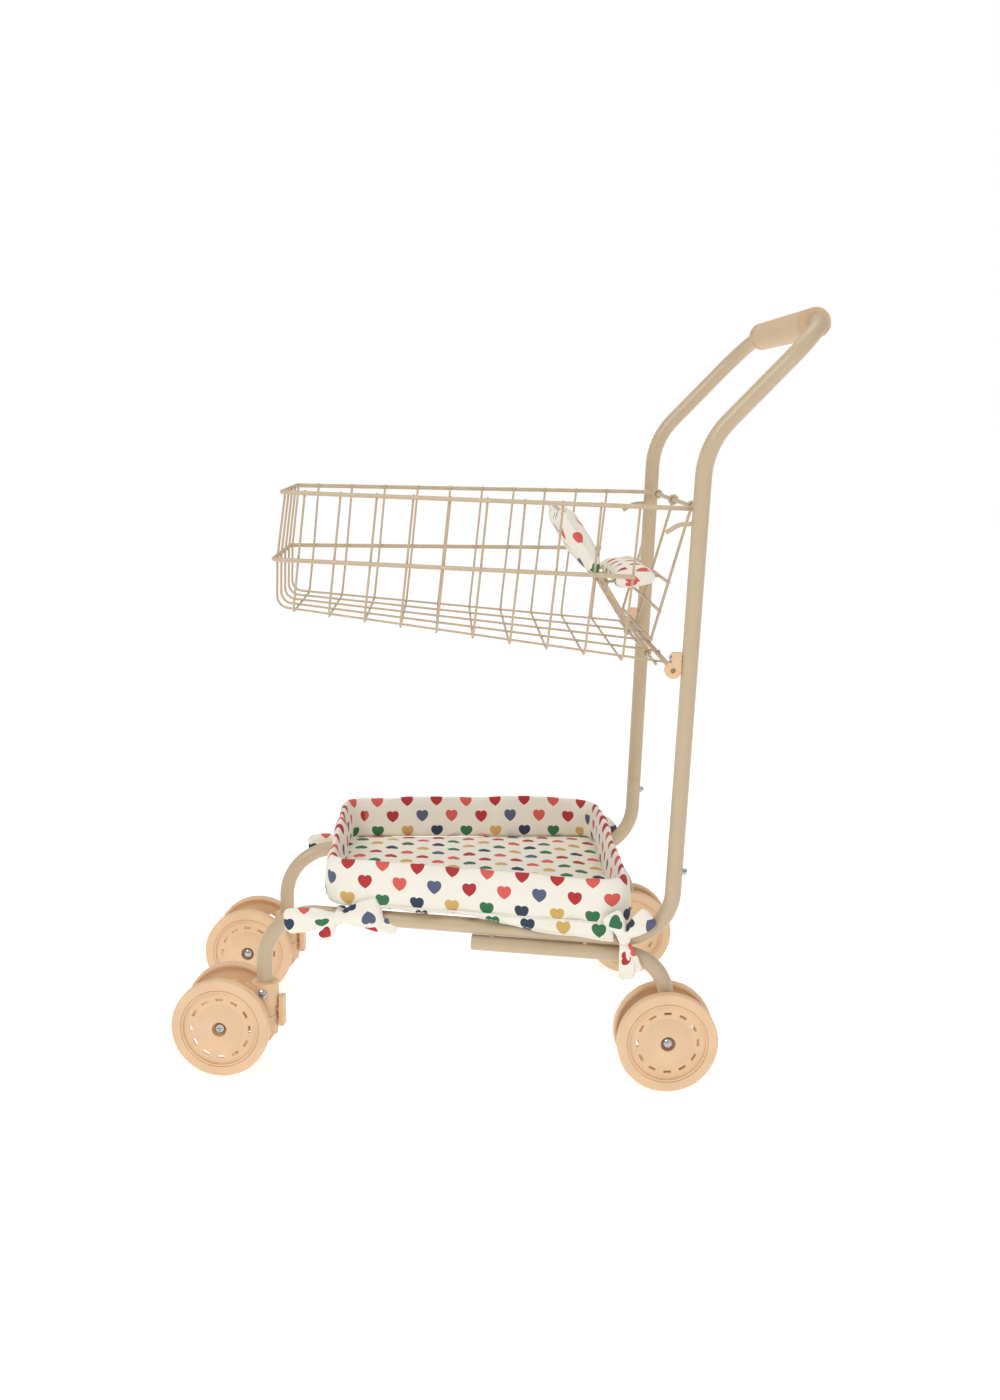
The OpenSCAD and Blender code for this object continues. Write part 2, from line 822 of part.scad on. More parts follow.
// The bolt of a wheel pair along X: its head on the -X side and its thread
// ending inside the nut on the +X side.
module pair_bolt(pair_w) {
    s = seat_of(pair_w) + rest_gap;
    rotate([0, 90, 0]) {
        translate([0, 0, -s]) cylinder(h = 2 * s + nut_h - 1, d = axle_d);
        difference() {
            translate([0, 0, -s - head_h]) cylinder(h = head_h, r1 = 3, r2 = 4.2);
            translate([0, 0, -s - head_h - past]) {
                translate([-0.5, -1.9, 0]) cube([1, 3.8, past + 1.1]);
                translate([-1.9, -0.5, 0]) cube([3.8, 1, past + 1.1]);
            }
        }
    }
}

// The dome nut on the +X end of a pair's bolt.
module pair_nut(pair_w) {
    s = seat_of(pair_w) + rest_gap;
    rotate([0, 90, 0])
        difference() {
            intersection() {
                translate([0, 0, s]) cylinder(h = nut_h + 1, r = nut_r);
                translate([0, 0, s + nut_h + 1 - 5]) sphere(r = 5);
            }
            translate([0, 0, s - past]) cylinder(h = nut_h - 1 + past, d = axle_d);
        }
}

// ---- front casters -------------------------------------------------------

swivel_p = [caster_x, -wheelbase, 0];
collar_r = 10.5;
bush_r = 7.3;
bush_z = tube_end_z;
screw_z = 61;
groove_depth = 0.9;

// Places its children, made about the swivel axis, on the left caster.
module caster() { translate(swivel_p) rotate([0, 0, caster_turn]) children(); }
// The same on the right caster, whose turn is the same way, not mirrored.
module right_caster() {
    translate(flip(swivel_p)) rotate([0, 0, caster_turn]) mirror([1, 0, 0]) children();
}

module swivel_bush() {
    color(peach_plastic)
        difference() {
            translate([0, 0, bush_z]) cylinder(h = collar_z - bush_z + 0.5, r = bush_r);
            translate([0, 0, bush_z - past]) cylinder(h = 40, r = tube_r);
            translate([0, 0, screw_z - 1.8])
                difference() {
                    cylinder(h = 3.6, r = bush_r + past);
                    translate([0, 0, -past])
                        cylinder(h = 3.6 + 2 * past, r = bush_r - groove_depth);
                }
        }
}

housing_low = 27;
boss_r = 8;
boss_w = front_pair_w - 2 * (rim_w + 6);
lock_y0 = 11.2;
lock_t = 3.8;
lock_w = 9;
lock_low = 34;
lock_h = 23;
lug_t = 3;
lock_travel = 3;
module caster_housing() {
    color(peach_plastic)
        difference() {
            union() {
                translate([0, 0, 50]) cylinder(h = collar_z - 50, r = collar_r);
                translate([0, 0, housing_low]) cylinder(h = 23, r = 9.2);
                translate([0, 0, 40]) cylinder(h = 2, r = 9.8);
                translate([-6, -caster_arm, wheel_r - boss_r])
                    cube([12, caster_arm, 2 * boss_r]);
                translate([0, -caster_arm, wheel_r]) rotate([0, 90, 0])
                    cylinder(h = boss_w, r = boss_r, center = true);
            }
            translate([0, 0, bush_z - rest_gap])
                cylinder(h = 40, r = bush_r + run_gap);
            translate([0, -caster_arm, wheel_r]) rotate([0, 90, 0])
                cylinder(h = 2 * boss_w, d = axle_d, center = true);
            translate([0, 0, screw_z]) rotate([0, 90, 0])
                cylinder(h = 2 * collar_r, d = 2.4);
            for (z = [lock_low + 2, lock_low + 11])
                translate([-lug_t / 2 - run_gap, 5, z - lock_travel - run_gap])
                    cube([lug_t + 2 * run_gap, 10, 3 + lock_travel + 2 * run_gap]);
        }
}

// The sliding plate behind the housing, with its two lugs in the housing's slots.
module swivel_lock() {
    color(peach_plastic) {
        translate([-lock_w / 2, lock_y0, lock_low]) cube([lock_w, lock_t, lock_h]);
        for (z = [lock_low + 2, lock_low + 11])
            translate([-lug_t / 2, 5 + rest_gap, z])
                cube([lug_t, lock_y0 - 5, 3]);
    }
}

module caster_screw() {
    head_r = 3.8;
    color(bright_steel)
        translate([0, 0, screw_z]) rotate([0, 90, 0])
            difference() {
                union() {
                    translate([0, 0, bush_r - groove_depth + rest_gap])
                        cylinder(h = collar_r - bush_r + 2, d = 2.4);
                    intersection() {
                        translate([0, 0, collar_r - 1]) cylinder(h = 5, r = head_r);
                        translate([0, 0, collar_r + 2.4 - 5]) sphere(r = 5);
                    }
                }
                translate([-0.5, -head_r - 1, collar_r + 1.2])
                    cube([1, 2 * head_r + 2, 4]);
            }
}

front_hub_l = front_pair_w / 2 - boss_w / 2 - rest_gap;
module front_outer() {
    translate([front_pair_w / 2, -caster_arm, wheel_r]) rotate([0, 90, 0])
        disc(front_hub_l);
}
module front_inner() {
    translate([-front_pair_w / 2, -caster_arm, wheel_r]) rotate([0, -90, 0])
        disc(front_hub_l);
}
module front_axle() {
    translate([0, -caster_arm, wheel_r]) mirror([1, 0, 0]) pair_bolt(front_pair_w);
}
module front_nut() {
    translate([0, -caster_arm, wheel_r]) mirror([1, 0, 0]) pair_nut(front_pair_w);
}

// ---- nodes ---------------------------------------------------------------

handle_tube();
handle_grip();
side_tube();  // left_side_tube
mirror([1, 0, 0]) side_tube();  // right_side_tube
rear_leg();  // left_rear_leg
mirror([1, 0, 0]) rear_leg();  // right_rear_leg
leg_weld_pegs();
snap_springs();
snap_button();  // left_snap_button
mirror([1, 0, 0]) snap_button();  // right_snap_button
shelf_wires();
shelf_board();
bed_tray();
front_bow();  // front_left_bow
mirror([1, 0, 0]) front_bow();  // front_right_bow
rear_bow();  // rear_left_bow
mirror([1, 0, 0]) rear_bow();  // rear_right_bow
basket_top_rim();
basket_mid_rim();
basket_cross_wires();
basket_long_wires();
basket_rear_rod();
basket_pivot_wire();
basket_clips();
clip_screws();
bag_hooks();
seat_gate();
seat_back_frame();
seat_base_frame();
back_cushion();
seat_cushion();
caster() swivel_bush();  // left_swivel_bush
right_caster() swivel_bush();  // right_swivel_bush
caster() caster_housing();  // left_caster_housing
right_caster() caster_housing();  // right_caster_housing
caster() swivel_lock();  // left_swivel_lock
right_caster() swivel_lock();  // right_swivel_lock
caster() caster_screw();  // left_caster_screw
right_caster() caster_screw();  // right_caster_screw
color(bright_steel) caster() front_axle();  // left_front_axle
color(bright_steel) right_caster() front_axle();  // right_front_axle
color(bright_steel) caster() front_nut();  // left_front_nut
color(bright_steel) right_caster() front_nut();  // right_front_nut
color(bright_steel) translate(axle_p) pair_bolt(rear_pair_w);  // left_rear_axle
color(bright_steel) mirror([1, 0, 0]) translate(axle_p) pair_bolt(rear_pair_w);  // right_rear_axle
color(bright_steel) translate(axle_p) pair_nut(rear_pair_w);  // left_rear_nut
color(bright_steel) mirror([1, 0, 0]) translate(axle_p) pair_nut(rear_pair_w);  // right_rear_nut
color(peach_plastic) caster() front_outer();  // front_left_outer_wheel
color(peach_plastic) caster() front_inner();  // front_left_inner_wheel
color(peach_plastic) right_caster() front_outer();  // front_right_outer_wheel
color(peach_plastic) right_caster() front_inner();  // front_right_inner_wheel
color(peach_plastic) rear_outer();  // rear_left_outer_wheel
color(peach_plastic) rear_inner();  // rear_left_inner_wheel
color(peach_plastic) mirror([1, 0, 0]) rear_outer();  // rear_right_outer_wheel
color(peach_plastic) mirror([1, 0, 0]) rear_inner();  // rear_right_inner_wheel
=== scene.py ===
"""Toy shopping cart: finishes, fabric pieces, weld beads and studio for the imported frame."""

import json
import math

import bmesh
import bpy
from bpy.props import FloatProperty, FloatVectorProperty, IntProperty, PointerProperty
from mathutils import Matrix, Vector, noise


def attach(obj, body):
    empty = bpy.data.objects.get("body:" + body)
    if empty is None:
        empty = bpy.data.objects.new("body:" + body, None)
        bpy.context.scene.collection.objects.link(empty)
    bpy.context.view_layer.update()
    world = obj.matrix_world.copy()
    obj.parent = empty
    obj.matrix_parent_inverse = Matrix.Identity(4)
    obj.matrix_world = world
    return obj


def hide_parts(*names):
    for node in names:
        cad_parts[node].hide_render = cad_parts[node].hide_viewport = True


bl_info = {
    "name": "Toy Shopping Cart",
    "version": (1, 0, 0),
    "blender": (4, 5, 0),
    "location": "View3D > Sidebar > Cart",
    "description": "Builds the cart's finishes, padded tray, doll seat pads, bows and studio",
    "category": "Object",
}

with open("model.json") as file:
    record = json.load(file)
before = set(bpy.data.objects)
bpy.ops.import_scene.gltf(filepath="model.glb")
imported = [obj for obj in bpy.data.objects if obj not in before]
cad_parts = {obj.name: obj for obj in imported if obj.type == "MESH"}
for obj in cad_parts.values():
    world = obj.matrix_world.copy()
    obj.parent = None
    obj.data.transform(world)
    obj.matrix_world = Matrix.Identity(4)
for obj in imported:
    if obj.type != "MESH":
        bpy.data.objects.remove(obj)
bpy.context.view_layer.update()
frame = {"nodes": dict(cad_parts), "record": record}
MM = 0.001


def srgb(r, g, b):
    """A colour on the 0 to 255 scale as linear values."""
    return tuple(
        c / 255 / 12.92 if c <= 10 else ((c / 255 + 0.055) / 1.055) ** 2.4 for c in (r, g, b)
    )


# ---- settings -------------------------------------------------------------


class FinishSettings(bpy.types.PropertyGroup):
    paint: FloatVectorProperty(
        name="Frame paint", description="Powder coat on tubes and wires",
        subtype="COLOR", default=srgb(199, 177, 145), min=0, max=1)
    wheel: FloatVectorProperty(
        name="Wheel plastic", description="Moulded plastic of wheels and casters",
        subtype="COLOR", default=srgb(233, 197, 156), min=0, max=1)
    grip: FloatVectorProperty(
        name="Grip plastic", description="Soft plastic of the push grip",
        subtype="COLOR", default=srgb(216, 186, 150), min=0, max=1)
    steel: FloatVectorProperty(
        name="Fastener steel", description="Zinc plated screws, bolts and nuts",
        subtype="COLOR", default=srgb(190, 192, 196), min=0, max=1)
    cloth: FloatVectorProperty(
        name="Cloth ground", description="Cotton behind the hearts",
        subtype="COLOR", default=srgb(250, 245, 231), min=0, max=1)
    heart_pitch: FloatProperty(
        name="Heart pitch", description="Distance between hearts along a row",
        default=0.0262, min=0.01, max=0.06, unit="LENGTH")
    heart_row: FloatProperty(
        name="Heart row", description="Distance between rows of hearts",
        default=0.0137, min=0.006, max=0.04, unit="LENGTH")
    heart_size: FloatProperty(
        name="Heart half width", description="Half the width of one heart",
        default=0.0053, min=0.002, max=0.02, unit="LENGTH")


class TraySettings(bpy.types.PropertyGroup):
    front: FloatProperty(
        name="Front end", description="Where the tray's front wall stands",
        default=-0.2500, unit="LENGTH")
    rear: FloatProperty(
        name="Rear end", description="Where the tray's rear wall stands",
        default=-0.0300, unit="LENGTH")
    set_out: FloatProperty(
        name="Set out", description="Wall middle outside the tubes' centre lines",
        default=0.0043, unit="LENGTH")
    height: FloatProperty(
        name="Wall height", description="Wall top above the tubes' centre lines",
        default=0.0460, unit="LENGTH")
    wall: FloatProperty(
        name="Half wall", description="Half the padded wall's thickness",
        default=0.0042, unit="LENGTH")
    puff: FloatProperty(
        name="Wrinkle depth", description="Height of the soft wrinkles",
        default=0.0016, unit="LENGTH")


class PadSettings(bpy.types.PropertyGroup):
    width: FloatProperty(
        name="Pad width", description="Width of both doll seat pads",
        default=0.148, unit="LENGTH")
    back_thick: FloatProperty(
        name="Back thickness", description="Thickness of the back pad",
        default=0.0125, unit="LENGTH")
    seat_thick: FloatProperty(
        name="Seat thickness", description="Thickness of the seat pad",
        default=0.0135, unit="LENGTH")


class StitchSettings(bpy.types.PropertyGroup):
    length: FloatProperty(
        name="Stitch length", description="Length of one stitch",
        default=0.0024, unit="LENGTH")
    pitch: FloatProperty(
        name="Stitch pitch", description="Distance between stitches",
        default=0.0034, unit="LENGTH")
    radius: FloatProperty(
        name="Thread radius", description="Radius of the sewing thread",
        default=0.00022, unit="LENGTH")
    bead: FloatProperty(
        name="Weld bead", description="Radius of a spot weld bead",
        default=0.00125, unit="LENGTH")
    seed: IntProperty(name="Seed", description="Seed of the small irregularities", default=7)


# ---- materials ------------------------------------------------------------


class Net:
    """A small helper that wires one material's nodes."""

    def __init__(self, name, rough, metal=0.0, coat=0.0, sheen=0.0):
        self.mat = bpy.data.materials.new(name)
        self.mat.use_nodes = True
        self.tree = self.mat.node_tree
        self.bsdf = self.tree.nodes["Principled BSDF"]
        self.bsdf.inputs["Roughness"].default_value = rough
        self.bsdf.inputs["Metallic"].default_value = metal
        self.bsdf.inputs["Coat Weight"].default_value = coat
        self.bsdf.inputs["Coat Roughness"].default_value = 0.25
        self.bsdf.inputs["Sheen Weight"].default_value = sheen
        self.bsdf.inputs["Sheen Roughness"].default_value = 0.5

    def node(self, kind, **values):
        n = self.tree.nodes.new(kind)
        for k, v in values.items():
            setattr(n, k, v)
        return n

    def link(self, a, b):
        self.tree.links.new(a, b)
        return b

    def math(self, op, a, b=None, c=None):
        n = self.node("ShaderNodeMath", operation=op)
        for i, v in enumerate((a, b, c)):
            if v is None:
                continue
            if isinstance(v, (int, float)):
                n.inputs[i].default_value = v
            else:
                self.link(v, n.inputs[i])
        return n.outputs[0]

    def noise(self, coords, scale, detail=3.0, rough=0.55):
        n = self.node("ShaderNodeTexNoise")
        n.inputs["Scale"].default_value = scale
        n.inputs["Detail"].default_value = detail
        n.inputs["Roughness"].default_value = rough
        self.link(coords, n.inputs["Vector"])
        return n.outputs["Fac"]

    def ramp(self, fac, stops, constant=False):
        n = self.node("ShaderNodeValToRGB")
        if constant:
            n.color_ramp.interpolation = "CONSTANT"
        cr = n.color_ramp
        while len(cr.elements) < len(stops):
            cr.elements.new(0.5)
        for e, (p, c) in zip(cr.elements, stops):
            e.position = p
            e.color = (*c, 1)
        self.link(fac, n.inputs["Fac"])
        return n.outputs["Color"]

    def mix(self, fac, a, b, mode="MIX"):
        n = self.node("ShaderNodeMix", data_type="RGBA", blend_type=mode)
        for s, v in ((n.inputs[0], fac), (n.inputs[6], a), (n.inputs[7], b)):
            if isinstance(v, (int, float)):
                s.default_value = v
            elif isinstance(v, tuple):
                s.default_value = (*v, 1)
            else:
                self.link(v, s)
        return n.outputs[2]

    def bump(self, height, strength, distance, under=None):
        n = self.node("ShaderNodeBump")
        n.inputs["Strength"].default_value = strength
        n.inputs["Distance"].default_value = distance
        self.link(height, n.inputs["Height"])
        if under is not None:
            self.link(under, n.inputs["Normal"])
        self.link(n.outputs["Normal"], self.bsdf.inputs["Normal"])
        return n.outputs["Normal"]

    def coords(self, kind):
        return self.node("ShaderNodeTexCoord").outputs[kind]


def shade(c, k):
    return tuple(min(1.0, v * k) for v in c)


def coated(name, base, rough, coat, mottle, peel_scale, peel):
    """Powder coat or moulded plastic: slight colour drift and a fine orange peel."""
    if name in bpy.data.materials:
        return bpy.data.materials[name]
    n = Net(name, rough, coat=coat)
    obj = n.coords("Object")
    drift = n.noise(obj, 45, 4)
    colour = n.ramp(drift, [(0.3, shade(base, 1 - mottle)), (0.7, shade(base, 1 + mottle))])
    n.link(colour, n.bsdf.inputs["Base Color"])
    scuff = n.noise(obj, 160, 5, 0.7)
    low = n.node("ShaderNodeMapRange")
    low.inputs["To Min"].default_value = rough - 0.07
    low.inputs["To Max"].default_value = rough + 0.1
    n.link(scuff, low.inputs["Value"])
    n.link(low.outputs["Result"], n.bsdf.inputs["Roughness"])
    first = n.bump(n.noise(obj, peel_scale, 2), 0.25, peel)
    n.bump(n.noise(obj, peel_scale * 5, 2), 0.12, peel * 0.4, first)
    return n.mat


def steel_finish(base):
    if "Zinc steel" in bpy.data.materials:
        return bpy.data.materials["Zinc steel"]
    n = Net("Zinc steel", 0.26, metal=1.0)
    obj = n.coords("Object")
    tone = n.noise(obj, 320, 4)
    n.link(n.ramp(tone, [(0.3, shade(base, 0.8)), (0.7, shade(base, 1.1))]),
           n.bsdf.inputs["Base Color"])
    n.bump(n.noise(obj, 900, 3), 0.2, 0.0001)
    return n.mat


GREEN, NAVY, MUSTARD = srgb(30, 112, 68), srgb(26, 48, 78), srgb(214, 172, 92)
RED, CORAL, SLATE = srgb(184, 28, 38), srgb(222, 88, 80), srgb(82, 90, 122)
HEART_ROWS = [
    [GREEN, NAVY, MUSTARD], [RED, CORAL, SLATE], [CORAL, RED, RED],
    [GREEN, MUSTARD, CORAL], [MUSTARD, GREEN, NAVY],
]


def cloth_finish(name, base, settings=None):
    """Plain woven cotton, with a printed heart pattern when settings are given."""
    if name in bpy.data.materials:
        return bpy.data.materials[name]
    n = Net(name, 0.9, sheen=0.04)
    uv = n.coords("UV")
    xyz = n.node("ShaderNodeSeparateXYZ")
    n.link(uv, xyz.inputs[0])
    u, v = xyz.outputs[0], xyz.outputs[1]
    thread = 2 * math.pi / 0.00045
    warp = n.math("SINE", n.math("MULTIPLY", u, thread))
    weft = n.math("SINE", n.math("MULTIPLY", v, thread))
    weave = n.math("MULTIPLY", warp, weft)
    slub = n.noise(uv, 900, 3)
    ground = n.ramp(n.math("MULTIPLY_ADD", weave, 0.12, slub),
                    [(0.2, shade(base, 0.93)), (0.8, base)])
    if settings:
        row = n.math("DIVIDE", v, settings.heart_row)
        row_no = n.math("FLOOR", row)
        odd = n.math("MULTIPLY", n.math("FLOORED_MODULO", row_no, 2.0), 0.5)
        col = n.math("ADD", n.math("DIVIDE", u, settings.heart_pitch), odd)
        col_no = n.math("FLOOR", col)
        s = settings.heart_size / 1.14
        hx = n.math("ABSOLUTE", n.math("MULTIPLY",
                    n.math("SUBTRACT", n.math("FRACT", col), 0.5), settings.heart_pitch / s))
        hy = n.math("MULTIPLY",
                    n.math("SUBTRACT", n.math("FRACT", row), 0.46), settings.heart_row / s)
        xx, yy = n.math("MULTIPLY", hx, hx), n.math("MULTIPLY", hy, hy)
        disc = n.math("SUBTRACT", n.math("ADD", xx, yy), 1.0)
        body = n.math("MULTIPLY", n.math("MULTIPLY", disc, disc), disc)
        lobes = n.math("MULTIPLY", xx, n.math("MULTIPLY", yy, hy))
        ink = n.math("LESS_THAN", n.math("SUBTRACT", body, lobes), 0.0)
        pick = n.math("ADD",
                      n.math("MULTIPLY", n.math("FLOORED_MODULO", row_no, 5.0), 3.0),
                      n.math("ADD", n.math("FLOORED_MODULO", col_no, 3.0), 0.5))
        stops = [(i / 15, HEART_ROWS[i // 3][i % 3]) for i in range(15)]
        hue = n.ramp(n.math("DIVIDE", pick, 15.0), stops, constant=True)
        worn = n.mix(n.math("MULTIPLY", slub, 0.05), hue, base)
        ground = n.mix(ink, ground, worn)
    n.link(ground, n.bsdf.inputs["Base Color"])
    soft = n.bump(n.noise(uv, 130, 3), 0.5, 0.0007)
    n.bump(weave, 0.25, 0.00012, soft)
    return n.mat


def finishes():
    f = bpy.context.scene.cart_finish
    return {
        "frame_paint": coated("Powder coat", tuple(f.paint), 0.36, 0.3, 0.025, 700, 0.00012),
        "peach_plastic": coated("Moulded plastic", tuple(f.wheel), 0.44, 0.08, 0.05, 420, 0.00018),
        "grip_plastic": coated("Grip plastic", tuple(f.grip), 0.58, 0.0, 0.03, 900, 0.0002),
        "zinc_steel": steel_finish(tuple(f.steel)),
        "cream_fabric": cloth_finish("Plain cotton", tuple(f.cloth)),
        "print_fabric": cloth_finish("Heart cotton", tuple(f.cloth), f),
        "thread": coated("Sewing thread", shade(tuple(f.cloth), 0.86), 0.7, 0.0, 0.05, 3000,
                         0.0001),
    }


# ---- mesh helpers ---------------------------------------------------------


def make_object(name, verts, faces, uvs, material, smooth=True):
    """A mesh object at the origin; uvs holds one pair for each face corner, in metres."""
    mesh = bpy.data.meshes.new(name)
    mesh.from_pydata([tuple(v) for v in verts], [], faces)
    layer = mesh.uv_layers.new(name="UVMap")
    flat = [c for face in uvs for pair in face for c in pair]
    layer.data.foreach_set("uv", flat)
    mesh.materials.append(material)
    mesh.validate()
    mesh.update()
    obj = bpy.data.objects.new(name, mesh)
    bpy.context.scene.collection.objects.link(obj)
    if smooth:
        mesh.shade_smooth()
    return obj


def outward(obj):
    bm = bmesh.new()
    bm.from_mesh(obj.data)
    bmesh.ops.recalc_face_normals(bm, faces=bm.faces)
    bm.to_mesh(obj.data)
    bm.free()
    return obj


def subdivide(obj, levels):
    m = obj.modifiers.new("Smooth", "SUBSURF")
    m.levels = m.render_levels = levels
    return bake(obj)


def bake(obj):
    """Turns the object's modifiers into its mesh."""
    deps = bpy.context.evaluated_depsgraph_get()
    deps.update()
    mesh = bpy.data.meshes.new_from_object(obj.evaluated_get(deps))
    obj.modifiers.clear()
    obj.data = mesh
    mesh.shade_smooth()
    return obj


def rings_mesh(name, rings, us, vs, material, loop_u=False, loop_v=True, caps=False):
    """A skin over rings of points. us and vs are the cloth distances along and around."""
    n, m = len(rings), len(rings[0])
    verts = [p for r in rings for p in r]
    faces, uvs = [], []
    for i in range(n if loop_u else n - 1):
        j = (i + 1) % n
        for a in range(m if loop_v else m - 1):
            b = (a + 1) % m
            faces.append((i * m + a, j * m + a, j * m + b, i * m + b))
            u0, u1, v0, v1 = us[i], us[i + 1], vs[a], vs[a + 1]
            uvs.append(((u0, v0), (u1, v0), (u1, v1), (u0, v1)))
    if caps:
        for i, flip in ((0, False), (n - 1, True)):
            c = len(verts)
            verts.append(sum((Vector(p) for p in rings[i]), Vector()) / m)
            for a in range(m):
                b = (a + 1) % m
                tri = (i * m + a, i * m + b, c)
                faces.append(tri[::-1] if flip else tri)
                uvs.append(((us[i], vs[a]),) * 3)
    return outward(make_object(name, verts, faces, uvs, material))


def run_half(y):
    """Half the spacing of the side tubes' centre lines at y."""
    return 0.090 + 0.0459 * (y + 0.3025) / 0.3044


def run_height(y):
    """Height of the side tubes' centre lines at y."""
    return 0.125 - 0.0135 * (y + 0.3025) / 0.3044


# Round of the tray's plan corners, and the distance between points round its walls
TRAY_CORNER = 0.017
TRAY_STEP = 0.0042


def tray_outline(out, y0, y1, r, step):
    """A closed plan outline with round corners: points, outward normals and lengths."""
    corners = [(-run_half(y0) - out, y0), (run_half(y0) + out, y0),
               (run_half(y1) + out, y1), (-run_half(y1) - out, y1)]
    corners = [Vector(c) for c in corners]
    pts = []
    for i, c in enumerate(corners):
        a = (corners[i - 1] - c).normalized()
        b = (corners[(i + 1) % 4] - c).normalized()
        half = a.angle(b) / 2
        cut = r / math.tan(half)
        mid = c + (a + b).normalized() * (r / math.sin(half))
        start = (c + a * cut - mid).normalized()
        end = (c + b * cut - mid).normalized()
        for k in range(9):
            pts.append(mid + start.slerp(end, k / 8) * r)
    total, marks = 0.0, [0.0]
    for i in range(len(pts)):
        total += (pts[(i + 1) % len(pts)] - pts[i]).length
        marks.append(total)
    count = int(total / step)
    out_pts, normals, lengths = [], [], []
    k = 0
    for i in range(count):
        s = total * i / count
        while marks[k + 1] < s:
            k += 1
        a, b = pts[k % len(pts)], pts[(k + 1) % len(pts)]
        t = (s - marks[k]) / max(1e-9, marks[k + 1] - marks[k])
        out_pts.append(a.lerp(b, t))
        d = (b - a).normalized()
        lengths.append(s)
        normals.append(Vector((d.y, -d.x)))
    smooth = []
    for i in range(count):
        acc = normals[i - 1] + normals[i] + normals[(i + 1) % count]
        smooth.append(acc.normalized())
    return out_pts, smooth, lengths + [total]


# ---- geometry node trees --------------------------------------------------


def stitch_tree():
    """Stitches of one length laid at one pitch along the input's edges."""
    tree = bpy.data.node_groups.new("Stitches", "GeometryNodeTree")
    face = tree.interface
    face.new_socket("Geometry", in_out="INPUT", socket_type="NodeSocketGeometry")
    for name, value in (("Pitch", 0.0034), ("Length", 0.0024), ("Thread radius", 0.0002)):
        s = face.new_socket(name, in_out="INPUT", socket_type="NodeSocketFloat")
        s.default_value = value
    face.new_socket("Material", in_out="INPUT", socket_type="NodeSocketMaterial")
    face.new_socket("Geometry", in_out="OUTPUT", socket_type="NodeSocketGeometry")
    n, link = tree.nodes, tree.links.new
    gin, gout = n.new("NodeGroupInput"), n.new("NodeGroupOutput")
    curve = n.new("GeometryNodeMeshToCurve")
    even = n.new("GeometryNodeResampleCurve")
    even.mode = "LENGTH"
    points = n.new("GeometryNodeInstanceOnPoints")
    thread = n.new("GeometryNodeMeshCylinder")
    thread.inputs["Vertices"].default_value = 6
    align = n.new("FunctionNodeAlignRotationToVector")
    align.axis = "Z"
    tangent = n.new("GeometryNodeInputTangent")
    real = n.new("GeometryNodeRealizeInstances")
    paint = n.new("GeometryNodeSetMaterial")
    link(gin.outputs["Geometry"], curve.inputs[0])
    link(curve.outputs[0], even.inputs["Curve"])
    link(gin.outputs["Pitch"], even.inputs["Length"])
    link(even.outputs[0], points.inputs["Points"])
    link(gin.outputs["Thread radius"], thread.inputs["Radius"])
    link(gin.outputs["Length"], thread.inputs["Depth"])
    link(thread.outputs["Mesh"], points.inputs["Instance"])
    link(tangent.outputs[0], align.inputs["Vector"])
    link(align.outputs[0], points.inputs["Rotation"])
    link(points.outputs[0], real.inputs[0])
    link(real.outputs[0], paint.inputs["Geometry"])
    link(gin.outputs["Material"], paint.inputs["Material"])
    link(paint.outputs[0], gout.inputs[0])
    return tree


def bead_tree():
    """A small round bead of slightly varied size on each of the input's points."""
    tree = bpy.data.node_groups.new("Weld beads", "GeometryNodeTree")
    face = tree.interface
    face.new_socket("Geometry", in_out="INPUT", socket_type="NodeSocketGeometry")
    s = face.new_socket("Radius", in_out="INPUT", socket_type="NodeSocketFloat")
    s.default_value = 0.0012
    s = face.new_socket("Seed", in_out="INPUT", socket_type="NodeSocketInt")
    s.default_value = 7
    face.new_socket("Material", in_out="INPUT", socket_type="NodeSocketMaterial")
    face.new_socket("Geometry", in_out="OUTPUT", socket_type="NodeSocketGeometry")
    n, link = tree.nodes, tree.links.new
    gin, gout = n.new("NodeGroupInput"), n.new("NodeGroupOutput")
    points = n.new("GeometryNodeInstanceOnPoints")
    ball = n.new("GeometryNodeMeshIcoSphere")
    ball.inputs["Subdivisions"].default_value = 2
    vary = n.new("FunctionNodeRandomValue")
    vary.data_type = "FLOAT"
    vary.inputs[2].default_value = 0.8
    vary.inputs[3].default_value = 1.1
    real = n.new("GeometryNodeRealizeInstances")
    paint = n.new("GeometryNodeSetMaterial")
    link(gin.outputs["Geometry"], points.inputs["Points"])
    link(gin.outputs["Radius"], ball.inputs["Radius"])
    link(ball.outputs["Mesh"], points.inputs["Instance"])
    link(gin.outputs["Seed"], vary.inputs["Seed"])
    link(vary.outputs[1], points.inputs["Scale"])
    link(points.outputs[0], real.inputs[0])
    link(real.outputs[0], paint.inputs["Geometry"])
    link(gin.outputs["Material"], paint.inputs["Material"])
    link(paint.outputs[0], gout.inputs[0])
    return tree


def grow(name, points, edges, tree_name, build, values, body):
    """Runs a node tree on points and edges and keeps the result as a plain mesh."""
    tree = bpy.data.node_groups.get(tree_name) or build()
    mesh = bpy.data.meshes.new(name)
    mesh.from_pydata([tuple(p) for p in points], edges, [])
    obj = bpy.data.objects.new(name, mesh)
    bpy.context.scene.collection.objects.link(obj)
    mod = obj.modifiers.new("Grow", "NODES")
    mod.node_group = tree
    for item in tree.interface.items_tree:
        if item.in_out == "INPUT" and item.name in values:
            mod[item.identifier] = values[item.name]
    bake(obj)
    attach(obj, body)
    return obj


